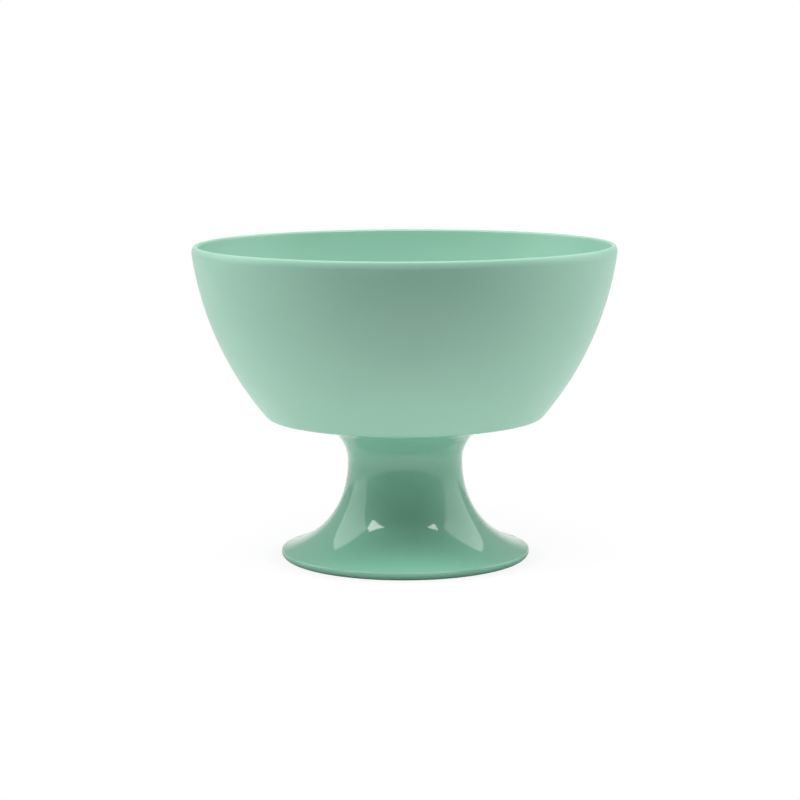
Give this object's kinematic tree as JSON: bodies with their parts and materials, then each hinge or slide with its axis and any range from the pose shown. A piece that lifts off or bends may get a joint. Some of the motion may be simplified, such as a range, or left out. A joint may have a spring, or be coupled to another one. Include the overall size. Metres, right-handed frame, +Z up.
{
  "type": "dessert cup",
  "caption": "Footed dessert cup: a round open bowl with a thin rounded lip on a hollow waisted pedestal foot, plugged together at the neck.",
  "frame": {"origin": "on the axis of revolution, in the plane of the standing ring under the foot", "axes": "+Z up along the axis of revolution; the cup is the same all round, so +X and +Y are free"},
  "size_m": [0.12, 0.12, 0.0895],
  "materials": {
    "bowl_satin": "satin",
    "foot_gloss": "gloss"
  },
  "bodies": {
    "root": {"bowl": "bowl_satin", "foot": "foot_gloss"}
  },
  "joints": []
}
